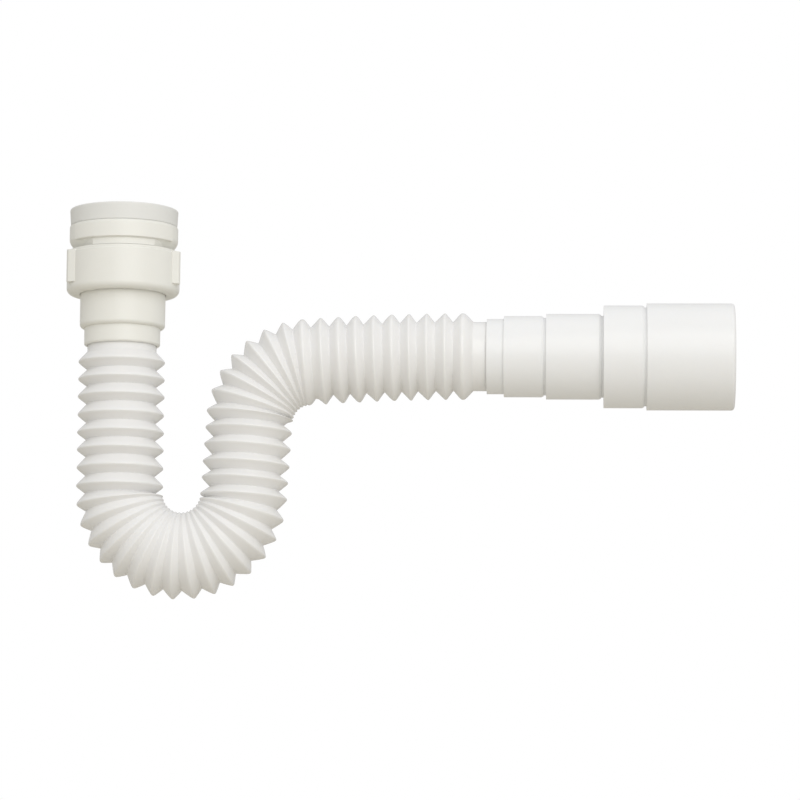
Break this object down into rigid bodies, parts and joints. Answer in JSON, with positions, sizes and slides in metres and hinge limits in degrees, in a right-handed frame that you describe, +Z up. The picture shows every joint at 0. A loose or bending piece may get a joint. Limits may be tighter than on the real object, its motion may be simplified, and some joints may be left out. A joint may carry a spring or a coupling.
{
  "type": "corrugated trap",
  "caption": "Flexible corrugated drain trap bent into a U, with a ribbed union nut at its inlet and a stepped sleeve at its outlet, joining a basin waste to a drain pipe.",
  "frame": {"origin": "centre of the inlet mouth, at the top of the seal", "axes": "+Z up along the inlet, +X along the outlet and away from the inlet"},
  "size_m": [0.3134, 0.055, 0.1836],
  "materials": {
    "seal": "satin",
    "fitting": "satin",
    "washer": "matte",
    "tube": "satin",
    "sleeve": "satin"
  },
  "bodies": {
    "inlet": {"inlet_adapter": "fitting", "inlet_seal": "seal"},
    "union": {"union_washer": "washer"},
    "nut": {"union_nut": "fitting"},
    "trap": {"inlet_tailpiece": "fitting", "corrugated_tube": "tube"},
    "outlet": {"outlet_adapter": "sleeve"}
  },
  "joints": [
    {"name": "union_drop", "type": "slide", "parent": "inlet", "child": "union", "axis": [0, 0, -1], "range_m": [0, 0.00924]},
    {"name": "nut_turn", "type": "hinge", "parent": "union", "child": "nut", "pos_m": [0, 0, -0.0303], "axis": [0, 0, -1], "range_deg": [0, 1440]},
    {"name": "trap_swivel", "type": "hinge", "parent": "union", "child": "trap", "pos_m": [0, 0, -0.036], "axis": [0, 0, 1], "continuous": true},
    {"name": "outlet_stretch", "type": "slide", "parent": "trap", "child": "outlet", "axis": [1, 0, 0], "range_m": [-0.045, 0.006], "deforming": ["corrugated_tube"]}
  ],
  "couplings": [
    {"joint": "union_drop", "follows": "nut_turn", "m_per_rad": 0.00036749}
  ]
}
